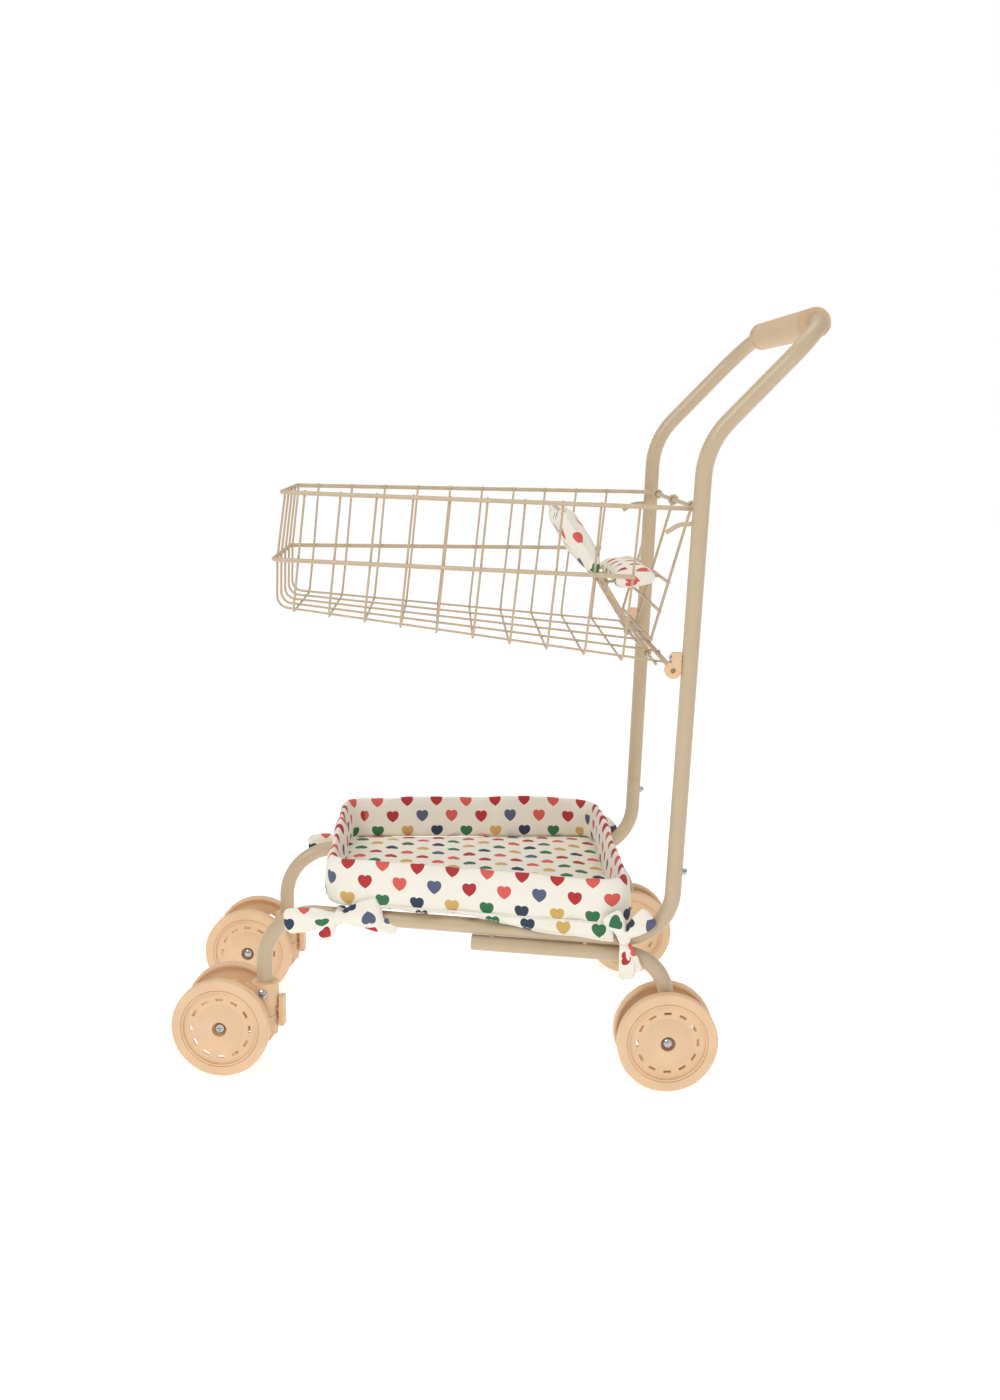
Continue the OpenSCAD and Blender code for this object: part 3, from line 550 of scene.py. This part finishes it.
def sew(name, points, body, closed=False):
    s = bpy.context.scene.cart_stitch
    edges = [(i, i + 1) for i in range(len(points) - 1)]
    if closed:
        edges.append((len(points) - 1, 0))
    values = {"Pitch": s.pitch, "Length": s.length, "Thread radius": s.radius,
              "Material": finishes()["thread"]}
    return grow(name, points, edges, "Stitches", stitch_tree, values, body)


# ---- pieces ---------------------------------------------------------------


class CART_OT_finish_frame(bpy.types.Operator):
    """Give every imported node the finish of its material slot"""

    bl_idname = "cart.finish_frame"
    bl_label = "Frame finishes"

    def execute(self, context):
        mats = finishes()
        slots = {s["node"]: s["material_slot"] for s in frame["record"]["subparts"]}
        for name, obj in frame["nodes"].items():
            mat = mats[slots[name]]
            if not obj.data.materials:
                obj.data.materials.append(mat)
            for i in range(len(obj.data.materials)):
                obj.data.materials[i] = mat
        return {"FINISHED"}


class CART_OT_tray(bpy.types.Operator):
    """Make the padded walls, floor and hanging hems of the fabric tray"""

    bl_idname = "cart.tray"
    bl_label = "Fabric tray"

    def execute(self, context):
        t = context.scene.cart_tray
        mats = finishes()
        cloth = mats["print_fabric"]
        pts, normals, lengths = tray_outline(t.set_out, t.front, t.rear, TRAY_CORNER, TRAY_STEP)
        top = t.height
        profile = [(0.80, 0.0092), (1.0, 0.0140), (1.12, 0.0200), (1.14, 0.0260), (1.06, 0.0320),
                   (0.92, 0.0380), (0.66, top - 0.0040), (0.3, top - 0.0012), (-0.1, top - 0.0006),
                   (-0.5, top - 0.0022), (-0.84, top - 0.0066), (-1.05, 0.0340), (-1.18, 0.0270),
                   (-1.2, 0.0200), (-1.1, 0.0140), (-0.7, 0.0108), (0.0, 0.0096)]
        vs = [0.0]
        for i in range(len(profile)):
            a, b = profile[i], profile[(i + 1) % len(profile)]
            step = math.hypot((a[0] - b[0]) * t.wall, a[1] - b[1])
            vs.append(vs[-1] + (step if a[0] > 0.2 else -step))
        rings = []
        for i, (p, nrm) in enumerate(zip(pts, normals)):
            s = lengths[i]
            swell = 1 + 0.16 * math.sin(s * 75) + 0.24 * noise.noise((s * 60, 0.3, 0.0))
            dip = 0.0030 * noise.noise((s * 14, 4.0, 1.0))
            dip += 0.0012 * noise.noise((s * 70, 9.0, 1.0))
            lean = 0.0022 * noise.noise((s * 11, 7.0, 3.0))
            ring = []
            for o, h in profile:
                up = (h - 0.009) / (top - 0.009)
                pucker = t.puff * noise.noise((s * 95, h * 120, 2.0 + (o > 0)))
                crease = -0.0012 * max(0.0, math.cos(s * 210)) ** 6 * (1 - up)
                side = o * t.wall * swell + (pucker + crease) * (1 if o > 0 else -1)
                side += lean * up
                z = run_height(p.y) + h + dip * up
                ring.append(Vector((p.x + nrm.x * side, p.y + nrm.y * side, z)))
            rings.append(ring)
        walls = rings_mesh("tray_walls", rings, lengths, vs, cloth, loop_u=True)
        subdivide(walls, 1)
        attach(walls, "frame")
        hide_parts("bed_tray")
        seam = [Vector((p.x + n2.x * 0.0053, p.y + n2.y * 0.0053, run_height(p.y) + 0.0122))
                for p, n2 in zip(pts, normals)]
        sew("tray_base_stitches", seam, "frame", closed=True)
        self.floor(t, cloth)
        self.hems(t, cloth)
        self.underside(t, mats["cream_fabric"])
        return {"FINISHED"}

    def floor(self, t, cloth):
        """The quilted floor pad, crowned between its edges."""
        nx, ny = 46, 46
        y0, y1 = t.front, t.rear
        half0, half1 = run_half(y0) + t.set_out, run_half(y1) + t.set_out
        corner = TRAY_CORNER
        verts, faces, uvs = [], [], []

        def at(i, j, side):
            v = j / ny
            y = y0 + (y1 - y0) * v
            near = max(0.0, min(corner, y - y0, y1 - y))
            inset = corner - math.sqrt(corner ** 2 - (corner - near) ** 2)
            half = half0 + (half1 - half0) * v - inset
            x = half * (2 * i / nx - 1)
            edge = min(1.0, 8 * min(i / nx, 1 - i / nx, v, 1 - v))
            crown = math.sqrt(max(0.0, edge))
            h = 0.0094 + 0.0028 * crown
            h += 0.0007 * noise.noise((x * 45, y * 45, 3.0)) * crown
            h -= 0.0008 * max(0.0, math.cos(2 * math.pi * y / 0.05)) ** 16 * crown
            return Vector((x, y, run_height(y) + (h if side else 0.0088)))

        for side in (1, 0):
            for j in range(ny + 1):
                for i in range(nx + 1):
                    verts.append(at(i, j, side))
        base = (nx + 1) * (ny + 1)

        def ids(i, j, side):
            return (0 if side else base) + j * (nx + 1) + i

        for side in (1, 0):
            for j in range(ny):
                for i in range(nx):
                    f = [ids(i, j, side), ids(i + 1, j, side),
                         ids(i + 1, j + 1, side), ids(i, j + 1, side)]
                    faces.append(f if side else f[::-1])
        for i in range(nx):
            faces.append([ids(i, 0, 0), ids(i + 1, 0, 0), ids(i + 1, 0, 1), ids(i, 0, 1)])
            faces.append([ids(i + 1, ny, 0), ids(i, ny, 0), ids(i, ny, 1), ids(i + 1, ny, 1)])
        for j in range(ny):
            faces.append([ids(0, j + 1, 0), ids(0, j, 0), ids(0, j, 1), ids(0, j + 1, 1)])
            faces.append([ids(nx, j, 0), ids(nx, j + 1, 0), ids(nx, j + 1, 1), ids(nx, j, 1)])
        for f in faces:
            uvs.append([(verts[k].y, verts[k].x) for k in f])
        pad = outward(make_object("tray_floor_pad", verts, faces, uvs, cloth))
        subdivide(pad, 1)
        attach(pad, "frame")

    def hems(self, t, cloth):
        """The cloth that hangs outside each side tube, down to a wavy hem.

        It starts at top above the tube's centre line. Near the front it ends at
        short above that line, and it falls to the line over the stretch fall_run.
        """
        for sx, side in ((1, "left"), (-1, "right")):
            ya, yb = t.front + 0.016, t.rear - 0.010
            n, m = 90, 10
            grid, us, drops = [], [], []
            top, short = 0.0132, 0.0104
            fall_start, fall_run = 0.40, 0.45
            for i in range(n + 1):
                k = i / n
                y = ya + (yb - ya) * k
                fall = min(1.0, max(0.0, (k - fall_start) / fall_run))
                low = short - short * fall * fall * (3 - 2 * fall)
                low += 0.0006 * math.sin(k * 17 + 0.6)
                row = []
                for j in range(m + 1):
                    d = j / m
                    h = top + (low - top) * d
                    out = 0.0086 + 0.0016 * math.sin(k * 26 + 1.0) * d + 0.0010 * d
                    out += 0.0010 * noise.noise((y * 110, d * 2, 5.0 + sx))
                    row.append(Vector((sx * (run_half(y) + out), y, run_height(y) + h)))
                drops.append(sum((b - a).length for a, b in zip(row, row[1:])))
                grid.append(row)
                us.append(y - ya)
            vs = [-max(drops) * j / m for j in range(m + 1)]
            hem = rings_mesh(f"{side}_tray_hem", grid, us + [0], vs, cloth, loop_v=False)
            uv = hem.data.uv_layers.active.data
            for loop in hem.data.loops:
                c = hem.data.vertices[loop.vertex_index].co
                uv[loop.index].uv = (c.y - ya, c.z - run_height(c.y) - top)
            thick = hem.modifiers.new("Thickness", "SOLIDIFY")
            thick.thickness = 0.0011
            thick.offset = 0
            subdivide(hem, 1)
            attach(hem, "frame")
            sew(f"{side}_hem_stitches",
                [r[-2] + Vector((sx * 0.0006, 0, 0.0003)) for r in grid], "frame")

    def underside(self, t, cloth):
        """The board's cloth cover below the floor pad."""
        n = 24
        y0, y1 = t.front + 0.006, t.rear - 0.006
        rings, us = [], []
        for i in range(n + 1):
            y = y0 + (y1 - y0) * i / n
            h = run_half(y) - 0.0088
            z = run_height(y) + 0.0061
            rim = 0.0009
            sag = 0.00008 * math.sin(i * 1.7)
            ring = [(-h, rim), (-h + rim, 0), (-h / 3, sag), (h / 3, -sag), (h - rim, 0), (h, rim),
                    (h - rim, 0.0019), (h / 3, 0.0019), (-h / 3, 0.0019), (-h + rim, 0.0019)]
            rings.append([Vector((x, y, z + dz)) for x, dz in ring])
            us.append(y)
        vs = [0, 0.001, 0.06, 0.13, 0.19, 0.191, 0.192, 0.25, 0.32, 0.38, 0.381]
        cover = rings_mesh("tray_board_cover", rings, us, vs, cloth, caps=True)
        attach(cover, "frame")
        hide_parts("shelf_board")


def puffed(name, origin, angle, s0, s1, width, thick, material, seed):
    """A stuffed pad: s0 to s1 along a direction turned by angle from +Y."""
    nx, ny = 44, 20
    half_l, half_w = (s1 - s0) / 2, width / 2
    turn = Matrix.Rotation(angle, 4, "X")
    shift = Matrix.Translation(origin)
    verts, faces = [], []
    for side in (1, -1):
        for j in range(ny + 1):
            for i in range(nx + 1):
                a, b = 2 * i / nx - 1, 2 * j / ny - 1
                pull = 0.05 * (1 - abs(a) ** 2) * abs(b) ** 3
                tuck = 0.035 * (1 - b * b) * abs(a) ** 5
                x = half_w * a * (1 - tuck)
                y = half_l * b * (1 - pull) + (s0 + s1) / 2
                dome = ((1 - abs(a) ** 8) * (1 - abs(b) ** 4)) ** 0.5
                fold = 1 + 0.22 * noise.noise((x * 55, y * 70, seed + side))
                ripple = 0.0006 * math.sin(x * 420 + seed) * abs(b) ** 2 * (1 - b ** 8)
                z = side * (thick / 2 * dome * fold + ripple * dome)
                verts.append(shift @ turn @ Vector((x, y, z)))
    base = (nx + 1) * (ny + 1)
    for side in (0, 1):
        for j in range(ny):
            for i in range(nx):
                q = [side * base + j * (nx + 1) + i, side * base + j * (nx + 1) + i + 1,
                     side * base + (j + 1) * (nx + 1) + i + 1, side * base + (j + 1) * (nx + 1) + i]
                faces.append(q if side == 0 else q[::-1])
    obj = make_object(name, verts, faces, [[(0, 0)] * 4 for _ in faces], material)
    bm = bmesh.new()
    bm.from_mesh(obj.data)
    bmesh.ops.remove_doubles(bm, verts=bm.verts, dist=0.00005)
    bmesh.ops.recalc_face_normals(bm, faces=bm.faces)
    bm.to_mesh(obj.data)
    bm.free()
    stuff_with_air(obj, 0.0022)
    lay_print(obj, (shift @ turn).inverted(), seed)
    subdivide(obj, 1)
    return obj


def stuff_with_air(obj, cap):
    """Cloth under pressure rounds the pad; no point moves further than cap."""
    mesh_mod = obj.modifiers.new("Even", "REMESH")
    mesh_mod.mode = "VOXEL"
    mesh_mod.voxel_size = 0.0025
    bake(obj)
    before = [v.co.copy() for v in obj.data.vertices]
    cloth = obj.modifiers.new("Air", "CLOTH")
    cloth.settings.use_pressure = True
    cloth.settings.uniform_pressure_force = 4
    cloth.settings.quality = 5
    cloth.settings.tension_stiffness = 25
    cloth.settings.compression_stiffness = 25
    cloth.settings.bending_stiffness = 0.2
    cloth.settings.effector_weights.gravity = 0
    cloth.point_cache.frame_start = 1
    cloth.point_cache.frame_end = 20
    scene = bpy.context.scene
    for f in range(1, 21):
        scene.frame_set(f)
    bake(obj)
    for v, a in zip(obj.data.vertices, before):
        d = v.co - a
        if d.length > cap:
            v.co = a + d * (cap / d.length)
    scene.frame_set(1)
    obj.data.update()


def lay_print(obj, to_flat, seed):
    """Lays the print flat over both faces of a pad."""
    mesh = obj.data
    if not mesh.uv_layers:
        mesh.uv_layers.new(name="UVMap")
    layer = mesh.uv_layers[0]
    for poly in mesh.polygons:
        up = (to_flat.to_3x3() @ poly.normal).z
        for li in poly.loop_indices:
            p = to_flat @ mesh.vertices[mesh.loops[li].vertex_index].co
            lift = p.z * (0.8 if up > 0 else -0.8)
            layer.data[li].uv = (p.x + 0.003 * seed, p.y + lift * (1 if p.y > 0 else -1))


class CART_OT_seat_pads(bpy.types.Operator):
    """Make the stuffed back pad and seat pad of the doll seat"""

    bl_idname = "cart.seat_pads"
    bl_label = "Doll seat pads"

    def execute(self, context):
        p = context.scene.cart_pads
        cloth = finishes()["print_fabric"]
        back_lean = math.radians(31.3)
        foot = Vector((0, -0.010, 0.3173))
        dirb = Vector((0, -math.sin(back_lean), math.cos(back_lean)))
        front = foot + dirb * 0.062
        back = puffed("seat_back_pad", foot, math.pi / 2 + back_lean, 0.0695, 0.1285,
                      p.width, p.back_thick, cloth, 3)
        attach(back, "seat_back")
        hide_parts("back_cushion")
        seat = puffed("seat_base_pad", front, math.radians(6.9), 0.0070, 0.0395,
                      p.width, p.seat_thick, cloth, 11)
        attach(seat, "seat_base")
        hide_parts("seat_cushion")
        return {"FINISHED"}


def bow_lobe(centre, along, across, out, length, width, thick, folds, shape, seed):
    """Rings of one loop or tail of a bow, pinched at the knot."""
    rings = []
    steps, around = 18, 20
    for i in range(steps + 1):
        t = i / steps
        w = width * shape(t)
        th = thick * (0.75 + 0.5 * math.sin(math.pi * min(1.0, t * 1.1)))
        if t > 0.86:
            end = math.sqrt(max(0.0, 1 - ((t - 0.86) / 0.145) ** 2))
            th *= end
            w *= 0.5 + 0.5 * end
        curve = 0.10 * length * math.sin(math.pi * t)
        ring = []
        for k in range(around):
            a = 2 * math.pi * k / around
            gather = 1 + folds * math.cos(3 * a + seed) * (1 - t) ** 1.5
            wob = 0.0012 * noise.noise((t * 4, k * 0.35, seed))
            ring.append(centre + along * (length * t)
                        + across * (w * math.cos(a) + wob)
                        + out * (th * gather * math.sin(a) + curve * 0.5 + wob))
        rings.append(ring)
    return rings, around


class CART_OT_bows(bpy.types.Operator):
    """Make the four tied fabric bows that hold the tray to the side tubes"""

    bl_idname = "cart.bows"
    bl_label = "Fabric bows"

    def execute(self, context):
        cloth = finishes()["print_fabric"]
        for sx, side in ((1, "left"), (-1, "right")):
            self.bow(f"front_{side}_bow", side, sx, Vector((0.0985, -0.2430, 0.1245)), [
                (-3, 0.042, 0.0100, "loop"), (8, -0.032, 0.0115, "loop"),
                (-52, 0.022, 0.0055, "tail"), (-12, -0.044, 0.0070, "tail")], cloth)
            self.bow(f"rear_{side}_bow", side, sx, Vector((0.1300, -0.0330, 0.1175)), [
                (62, 0.020, 0.0075, "loop"), (38, -0.026, 0.0085, "loop"),
                (-96, 0.034, 0.0072, "tail"), (-72, -0.030, 0.0065, "tail")], cloth)
        return {"FINISHED"}

    def bow(self, name, side, sx, centre, lobes, cloth):
        where = name.split("_")[0]
        centre = Vector((centre.x * sx + sx * 0.0125, centre.y, centre.z))
        out = Vector((sx, 0, 0))
        pieces = []
        for k, (deg, reach, width, kind) in enumerate(lobes):
            a = math.radians(deg)
            way = -1 if reach > 0 else 1
            length = abs(reach)
            along = Vector((0, way * math.cos(a), math.sin(a)))
            across = Vector((0, -math.sin(a), way * math.cos(a)))
            if kind == "loop":
                def shape(t):
                    return 0.34 + 0.66 * math.sin(min(1, t * 1.25) * math.pi / 2)

                rings, n = bow_lobe(centre, along, across, out, length, width, 0.0034, 0.4,
                                    shape, k)
            else:
                rings, n = bow_lobe(centre - out * 0.002, along, across, out, length, width, 0.0011,
                                    0.5, lambda t: 0.4 + 0.6 * t, k + 4)
            us = [length * i / (len(rings) - 1) + 0.031 * k for i in range(len(rings))]
            vs = [width * (1 - math.cos(2 * math.pi * i / n)) + 0.007 * k for i in range(n + 1)]
            pieces.append(rings_mesh(f"{name}_part{k}", rings, us, vs, cloth, caps=True))
        pieces.append(self.knot(name, centre, sx, cloth))
        pieces.append(self.band(name, centre, sx, cloth))
        bpy.ops.object.select_all(action="DESELECT")
        for p in pieces:
            p.select_set(True)
        bpy.context.view_layer.objects.active = pieces[0]
        bpy.ops.object.join()
        bow = pieces[0]
        bow.name = f"{where}_{side}_tied_bow"
        subdivide(bow, 1)
        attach(bow, "frame")
        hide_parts(name if name in frame["nodes"] else f"{where}_{side}_bow")

    def knot(self, name, c, sx, cloth):
        rings, us, n = [], [], 20
        for i in range(11):
            t = i / 10
            r = 0.0050 * math.sin(math.pi * (0.12 + 0.76 * t)) ** 0.6
            ring = []
            for k in range(n):
                a = 2 * math.pi * k / n
                g = 1 + 0.10 * math.cos(4 * a + 6 * t)
                ring.append(c + Vector((sx * (r * 0.85 * g * math.cos(a) + 0.0008),
                                        r * g * math.sin(a) * 1.1, 0.0105 * (t - 0.5))))
            rings.append(ring)
            us.append(0.0105 * t)
        vs = [0.031 * k / n for k in range(n + 1)]
        return rings_mesh(f"{name}_knot", rings, us, vs, cloth, caps=True)

    def band(self, name, c, sx, cloth):
        """The gathered strip that goes round the side tube, open below it."""
        y = c.y
        mid = Vector((sx * run_half(y), y, run_height(y)))
        rings, us = [], []
        for i in range(25):
            a = math.radians(-38 + 256 * i / 24)
            r = 0.0069 + 0.0002 * math.sin(5 * a)
            o = Vector((sx * math.cos(a), 0, math.sin(a)))
            half = 0.0048 + 0.0006 * math.sin(3 * a)
            ring = [mid + o * r + Vector((0, -half, 0)), mid + o * (r + 0.0008) + Vector((0, 0, 0)),
                    mid + o * r + Vector((0, half, 0)), mid + o * (r - 0.0004)]
            rings.append(ring)
            us.append(0.007 * a)
        vs = [0, 0.005, 0.010, 0.015, 0.02]
        return rings_mesh(f"{name}_band", rings, us, vs, cloth, caps=True)


class CART_OT_weld_beads(bpy.types.Operator):
    """Put the spot weld beads where the basket's wires cross its rims"""

    bl_idname = "cart.weld_beads"
    bl_label = "Weld beads"

    def execute(self, context):
        s = context.scene.cart_stitch
        spots = []
        for i in range(10):
            y = -0.2667 + i * (0.2437 / 9)
            share = (y + 0.2845) / 0.3019
            x = 0.065 + 0.0768 * share
            z = 0.439 - 0.009 * share
            for sx in (1, -1):
                spots.append((sx * (x - 0.0018), y, z))
                spots.append((sx * (x + 0.008 - 0.0018), y - 0.0055, z - 0.0497))
        values = {"Radius": s.bead, "Seed": s.seed, "Material": finishes()["frame_paint"]}
        grow("basket_weld_beads", spots, [], "Weld beads", bead_tree, values,
             "frame")
        return {"FINISHED"}


class CART_OT_stage(bpy.types.Operator):
    """Set up the pale floor, the soft lights and the camera"""

    bl_idname = "cart.stage"
    bl_label = "Studio"

    def execute(self, context):
        scene = context.scene
        scene.view_settings.view_transform = "Standard"
        world = bpy.data.worlds.new("Studio")
        scene.world = world
        world.use_nodes = True
        back = world.node_tree.nodes["Background"]
        back.inputs["Color"].default_value = (1, 1, 1, 1)
        back.inputs["Strength"].default_value = 0.5
        tree = world.node_tree
        seen = tree.nodes.new("ShaderNodeBackground")
        seen.inputs["Strength"].default_value = 1.0
        seen.inputs["Color"].default_value = (1, 1, 1, 1)
        rays = tree.nodes.new("ShaderNodeLightPath")
        pick = tree.nodes.new("ShaderNodeMixShader")
        tree.links.new(rays.outputs["Is Camera Ray"], pick.inputs[0])
        tree.links.new(back.outputs[0], pick.inputs[1])
        tree.links.new(seen.outputs[0], pick.inputs[2])
        tree.links.new(pick.outputs[0], tree.nodes["World Output"].inputs["Surface"])
        mat = bpy.data.materials.new("Studio floor")
        mat.use_nodes = True
        b = mat.node_tree.nodes["Principled BSDF"]
        b.inputs["Base Color"].default_value = (0.56, 0.56, 0.56, 1)
        b.inputs["Roughness"].default_value = 0.9
        b.inputs["Specular IOR Level"].default_value = 0.1
        b.inputs["Emission Color"].default_value = (1, 1, 1, 1)
        b.inputs["Emission Strength"].default_value = 0.72
        s = 9.0
        verts = [(-s, -s, -0.0005), (s, -s, -0.0005), (s, s, -0.0005), (-s, s, -0.0005)]
        floor = make_object("studio_floor", verts, [(0, 1, 2, 3)],
                            [[(0, 0), (1, 0), (1, 1), (0, 1)]], mat, smooth=False)
        self.lamp("Key", (1.6, -1.3, 2.0), 1.1, 17)
        self.lamp("Fill", (1.8, 1.2, 1.2), 1.8, 4)
        self.lamp("Top", (-0.4, -0.1, 2.4), 1.8, 11)
        cam = bpy.data.cameras.new("Camera")
        cam.lens = 42.62
        cam.sensor_width = 36
        cam.sensor_fit = "AUTO"
        obj = bpy.data.objects.new("Camera", cam)
        obj.location = (1.31236, -0.15962, 0.49272)
        obj.rotation_euler = (math.radians(80.38), 0, math.radians(88.25))
        scene.collection.objects.link(obj)
        scene.camera = obj
        return {"FINISHED"}

    def lamp(self, name, place, size, power):
        data = bpy.data.lights.new(name, "AREA")
        data.shape = "DISK"
        data.size = size
        data.energy = power
        obj = bpy.data.objects.new(name, data)
        obj.location = place
        aim = Vector((0, -0.12, 0.25)) - Vector(place)
        obj.rotation_euler = aim.to_track_quat("-Z", "Y").to_euler()
        bpy.context.scene.collection.objects.link(obj)


class CART_PT_panel(bpy.types.Panel):
    """Lists the cart's pieces and settings"""

    bl_idname = "CART_PT_panel"
    bl_label = "Toy shopping cart"
    bl_space_type = "VIEW_3D"
    bl_region_type = "UI"
    bl_category = "Cart"

    def draw(self, context):
        layout = self.layout
        for op in OPERATORS:
            layout.operator(op.bl_idname)
        for group in ("cart_finish", "cart_tray", "cart_pads", "cart_stitch"):
            settings = getattr(context.scene, group)
            box = layout.box()
            for key in settings.bl_rna.properties.keys():
                if key not in ("rna_type", "name"):
                    box.prop(settings, key)


GROUPS = {"cart_finish": FinishSettings, "cart_tray": TraySettings,
          "cart_pads": PadSettings, "cart_stitch": StitchSettings}
OPERATORS = (CART_OT_stage, CART_OT_finish_frame, CART_OT_tray, CART_OT_seat_pads,
             CART_OT_bows, CART_OT_weld_beads)


def register():
    for name, group in GROUPS.items():
        bpy.utils.register_class(group)
        setattr(bpy.types.Scene, name, PointerProperty(type=group))
    for cls in OPERATORS + (CART_PT_panel,):
        bpy.utils.register_class(cls)


def unregister():
    for cls in reversed(OPERATORS + (CART_PT_panel,)):
        bpy.utils.unregister_class(cls)
    for name, group in GROUPS.items():
        delattr(bpy.types.Scene, name)
        bpy.utils.unregister_class(group)


def main():
    register()
    bpy.ops.cart.stage()
    bpy.ops.cart.finish_frame()
    bpy.ops.cart.tray()
    bpy.ops.cart.seat_pads()
    bpy.ops.cart.bows()
    bpy.ops.cart.weld_beads()


if __name__ == "__main__":
    main()
